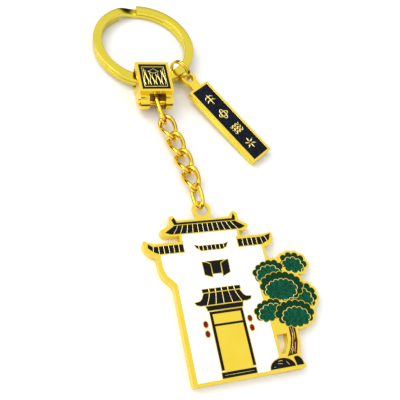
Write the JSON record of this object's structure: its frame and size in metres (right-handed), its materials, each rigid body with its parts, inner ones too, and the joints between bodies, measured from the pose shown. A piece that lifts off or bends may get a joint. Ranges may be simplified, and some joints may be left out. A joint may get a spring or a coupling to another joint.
{
  "type": "keychain",
  "caption": "Keychain: double-coil split ring, square enamelled connector, twisted curb chain, flat enamelled gate-house pendant and a bar tag on its own small ring.",
  "frame": {"origin": "middle of the base of the whole object's box, on the surface that it lies on", "axes": "+Y from the pendant to the split ring, +X to the right with the pendant's face in view, +Z out of its face"},
  "size_m": [0.0508, 0.1218, 0.008],
  "materials": {
    "gold_plated_wire": "bright gold plating over steel wire and coiled steel band",
    "gold_plated_casting": "bright gold plating over a polished casting",
    "black_enamel": "glossy black enamel, level with the gold lines round it",
    "navy_enamel": "glossy blue-black enamel with fine glitter",
    "white_enamel": "glossy white enamel",
    "green_enamel": "glossy green enamel with fine glitter",
    "red_enamel": "glossy red enamel",
    "brown_enamel": "glossy brown enamel"
  },
  "bodies": {
    "split_ring": {"split_ring": "gold_plated_wire"},
    "connector": {"seal_block": "gold_plated_casting", "seal_enamel": "black_enamel", "clevis_pin": "gold_plated_wire"},
    "chain_link_top": {"chain_link_top": "gold_plated_wire"},
    "curb_link_1": {"curb_link_1": "gold_plated_wire"},
    "curb_link_2": {"curb_link_2": "gold_plated_wire"},
    "curb_link_3": {"curb_link_3": "gold_plated_wire"},
    "curb_link_4": {"curb_link_4": "gold_plated_wire"},
    "chain_link_bottom": {"chain_link_bottom": "gold_plated_wire"},
    "pendant": {"pendant_plate": "gold_plated_casting", "enamel_wall": "white_enamel", "enamel_roof_ridge": "black_enamel", "enamel_top_roof": "black_enamel", "enamel_left_eave": "black_enamel", "enamel_right_eave": "black_enamel", "enamel_middle_eave": "black_enamel", "enamel_left_shutter": "black_enamel", "enamel_right_shutter": "black_enamel", "enamel_window_pane": "black_enamel", "enamel_gate_roof_cap": "black_enamel", "enamel_gate_roof": "black_enamel", "enamel_gate_lintel": "black_enamel", "enamel_door_frame": "black_enamel", "enamel_door_sill": "black_enamel", "enamel_large_rock": "black_enamel", "enamel_small_rock": "black_enamel", "enamel_lantern_left_lower": "red_enamel", "enamel_lantern_left_upper": "red_enamel", "enamel_lantern_right_lower": "red_enamel", "enamel_lantern_right_upper": "red_enamel", "enamel_tree_trunk": "brown_enamel", "enamel_foliage_lower_right": "green_enamel", "enamel_foliage_lower_left": "green_enamel", "enamel_foliage_middle": "green_enamel", "enamel_foliage_right": "green_enamel", "enamel_foliage_upper_left": "green_enamel", "enamel_foliage_top": "green_enamel"},
    "tag_ring": {"tag_ring": "gold_plated_wire"},
    "tag": {"tag_plate": "gold_plated_casting", "tag_enamel": "navy_enamel"}
  },
  "joints": [
    {"name": "connector_round_ring", "type": "hinge", "parent": "split_ring", "child": "connector", "pos_m": [-0.00938, 0.04483, 0.0023], "axis": [0, 0.0468, 0.9989], "range_deg": [-170, 6]},
    {"name": "top_link_on_pin", "type": "hinge", "parent": "connector", "child": "chain_link_top", "pos_m": [-0.00993, 0.02184, 0.0038], "axis": [1, 0, 0], "range_deg": [-40, 40]},
    {"name": "curb_1_on_top_link", "type": "hinge", "parent": "chain_link_top", "child": "curb_link_1", "pos_m": [-0.00803, 0.01499, 0.00308], "axis": [-0.6423, -0.275, 0.7154], "range_deg": [-25, 25]},
    {"name": "curb_2_on_curb_1", "type": "hinge", "parent": "curb_link_1", "child": "curb_link_2", "pos_m": [-0.00661, 0.01119, 0.00266], "axis": [0.6863, 0.1312, 0.7154], "range_deg": [-25, 25]},
    {"name": "curb_3_on_curb_2", "type": "hinge", "parent": "curb_link_2", "child": "curb_link_3", "pos_m": [-0.00477, 0.00378, 0.00226], "axis": [-0.6819, -0.1325, 0.7193], "range_deg": [-25, 25]},
    {"name": "curb_4_on_curb_3", "type": "hinge", "parent": "curb_link_3", "child": "curb_link_4", "pos_m": [-0.00409, -0.00022, 0.00235], "axis": [0.6819, 0.1325, 0.7193], "range_deg": [-25, 25]},
    {"name": "bottom_link_on_curb_4", "type": "hinge", "parent": "curb_link_4", "child": "chain_link_bottom", "pos_m": [-0.00289, -0.00778, 0.00235], "axis": [-0.9509, -0.0224, 0.3088], "range_deg": [-25, 25]},
    {"name": "pendant_on_bottom_link", "type": "hinge", "parent": "chain_link_bottom", "child": "pendant", "pos_m": [-0.00278, -0.01156, 0.00213], "axis": [1, 0, 0], "range_deg": [-60, 60]},
    {"name": "tag_ring_round_ring", "type": "hinge", "parent": "split_ring", "child": "tag_ring", "pos_m": [-0.00938, 0.04483, 0.0023], "axis": [0, 0.0468, 0.9989], "range_deg": [-4, 120]},
    {"name": "tag_on_tag_ring", "type": "hinge", "parent": "tag_ring", "child": "tag", "pos_m": [0.00239, 0.03072, 0.00385], "axis": [0, 0, 1], "range_deg": [-20, 20]}
  ]
}
